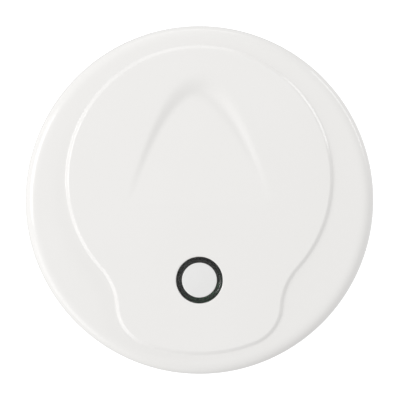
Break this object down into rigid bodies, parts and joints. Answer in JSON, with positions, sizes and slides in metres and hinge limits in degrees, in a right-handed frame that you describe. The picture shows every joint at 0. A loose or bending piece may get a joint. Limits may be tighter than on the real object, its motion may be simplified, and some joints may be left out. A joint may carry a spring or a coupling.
{
  "type": "smoke alarm",
  "caption": "Round domestic smoke alarm with a domed white front, raised shield panel, ring-lit test button, louvred side inlet and twist-off ceiling plate.",
  "frame": {"origin": "centre of the mounting plate's back face, where it meets the ceiling", "axes": "+Z out of the front of the alarm, away from the ceiling; +Y to the top of the front, so the test button is on the -Y side; +X to the right when the front is looked at"},
  "size_m": [0.116, 0.116, 0.0454],
  "materials": {
    "cover_plastic": "smooth moulded, soft gloss",
    "housing_plastic": "fine satin texture",
    "plate_plastic": "fine satin texture",
    "button_plastic": "smooth satin",
    "clear_plastic": "clear moulded light guide",
    "black_plastic": "matt black",
    "board_laminate": "green solder mask",
    "steel": "plated",
    "screen_mesh": "woven fine wire",
    "led_resin": "tinted clear resin",
    "dark_resin": "dark filter resin",
    "horn_plastic": "satin",
    "brass": "thin rolled sheet",
    "horn_ceramic": "silvered",
    "cell_metal": "nickel plated",
    "cell_sleeve": "shrink sleeve",
    "nickel": "nickel plated spring steel",
    "status_led": "phosphor resin",
    "chip_epoxy": "moulded epoxy with tinned leads",
    "capacitor_sleeve": "shrink sleeve",
    "copper_winding": "enamelled copper wire",
    "chip_resistor": "glazed with tinned ends",
    "chip_ceramic": "plain with tinned ends",
    "label_paper": "blank satin label"
  },
  "bodies": {
    "mounting_plate": {"mounting_plate": "plate_plastic"},
    "alarm": {"rear_housing": "housing_plastic", "inlet_ring": "housing_plastic", "front_cover": "cover_plastic", "switch_body": "black_plastic", "switch_frame": "steel", "circuit_board": "board_laminate", "board_screws": "steel", "chamber_base": "black_plastic", "chamber_labyrinth": "black_plastic", "insect_screen": "screen_mesh", "infrared_led": "led_resin", "photodiode": "dark_resin", "horn_housing": "horn_plastic", "horn_membrane": "brass", "horn_ceramic": "horn_ceramic", "horn_contacts": "steel", "battery_cell": "cell_metal", "battery_sleeve": "cell_sleeve", "positive_contact": "nickel", "negative_contact": "nickel", "negative_spring": "nickel", "status_leds": "status_led", "microcontroller": "chip_epoxy", "horn_driver": "chip_epoxy", "reservoir_capacitor": "capacitor_sleeve", "horn_coil": "copper_winding", "chip_resistors": "chip_resistor", "chip_capacitors": "chip_ceramic", "crystal": "steel", "test_header": "black_plastic", "rating_label": "label_paper"},
    "test_button": {"button_light_ring": "clear_plastic", "button_disc": "button_plastic"},
    "switch_plunger": {"switch_plunger": "black_plastic"},
    "battery_door": {"battery_door": "housing_plastic"}
  },
  "joints": [
    {"name": "bayonet_twist", "type": "hinge", "parent": "mounting_plate", "child": "alarm", "pos_m": [0, 0, 0.0042], "axis": [0, 0, 1], "range_deg": [0, 18]},
    {"name": "button_press", "type": "slide", "parent": "alarm", "child": "test_button", "axis": [0, 0, -1], "range_m": [0, 0.0005], "stiffness_N_per_m": 800},
    {"name": "plunger_press", "type": "slide", "parent": "alarm", "child": "switch_plunger", "axis": [0, 0, -1], "range_m": [0, 0.0005]},
    {"name": "door_hinge", "type": "hinge", "parent": "alarm", "child": "battery_door", "pos_m": [0, -0.0248, 0.0043], "axis": [-1, 0, 0], "range_deg": [0, 95]}
  ],
  "couplings": [
    {"joint": "plunger_press", "follows": "button_press", "ratio": 1}
  ]
}
